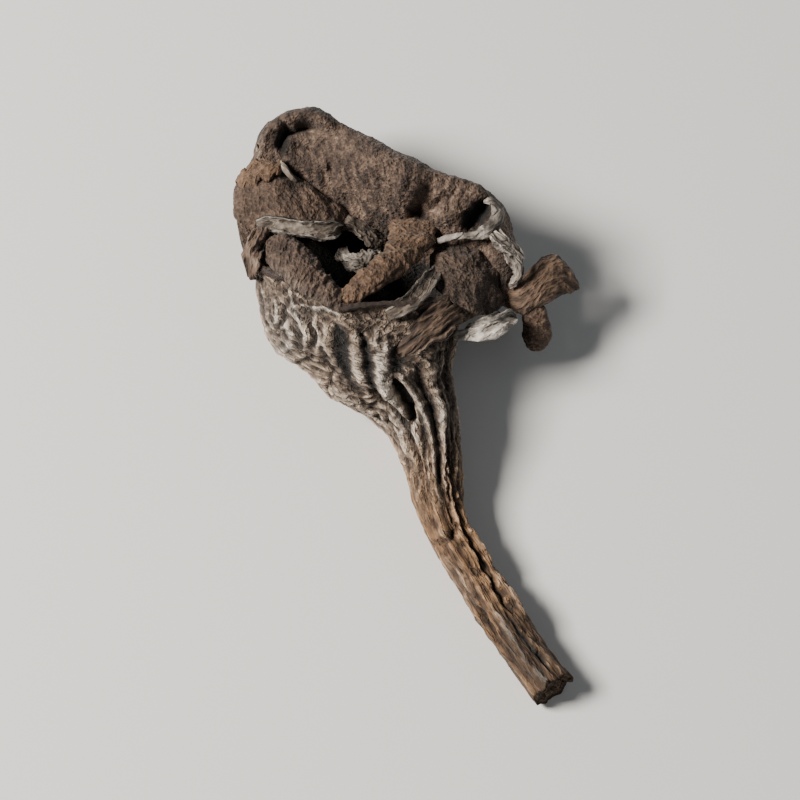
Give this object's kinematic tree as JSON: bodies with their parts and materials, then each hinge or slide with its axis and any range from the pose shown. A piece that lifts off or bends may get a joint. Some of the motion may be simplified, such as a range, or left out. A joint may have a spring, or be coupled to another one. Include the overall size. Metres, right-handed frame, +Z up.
{
  "type": "dried black trumpet mushroom",
  "caption": "Dried black trumpet mushroom: wrinkled hollow funnel with a rolled cap and a bent solid stem, lying on its side.",
  "frame": {"origin": "on the surface that the mushroom lies on, under the middle of its bounding box", "axes": "+Y runs from the broken foot of the stem to the cap, +Z is up"},
  "size_m": [0.037, 0.0746, 0.018],
  "materials": {
    "dried_flesh": "dry, matt and wrinkled: dark brown velvety inside, grey-brown folds with paler crests outside, ochre-brown ribs on the stem"
  },
  "bodies": {
    "root": {"mushroom": "dried_flesh"}
  },
  "joints": []
}
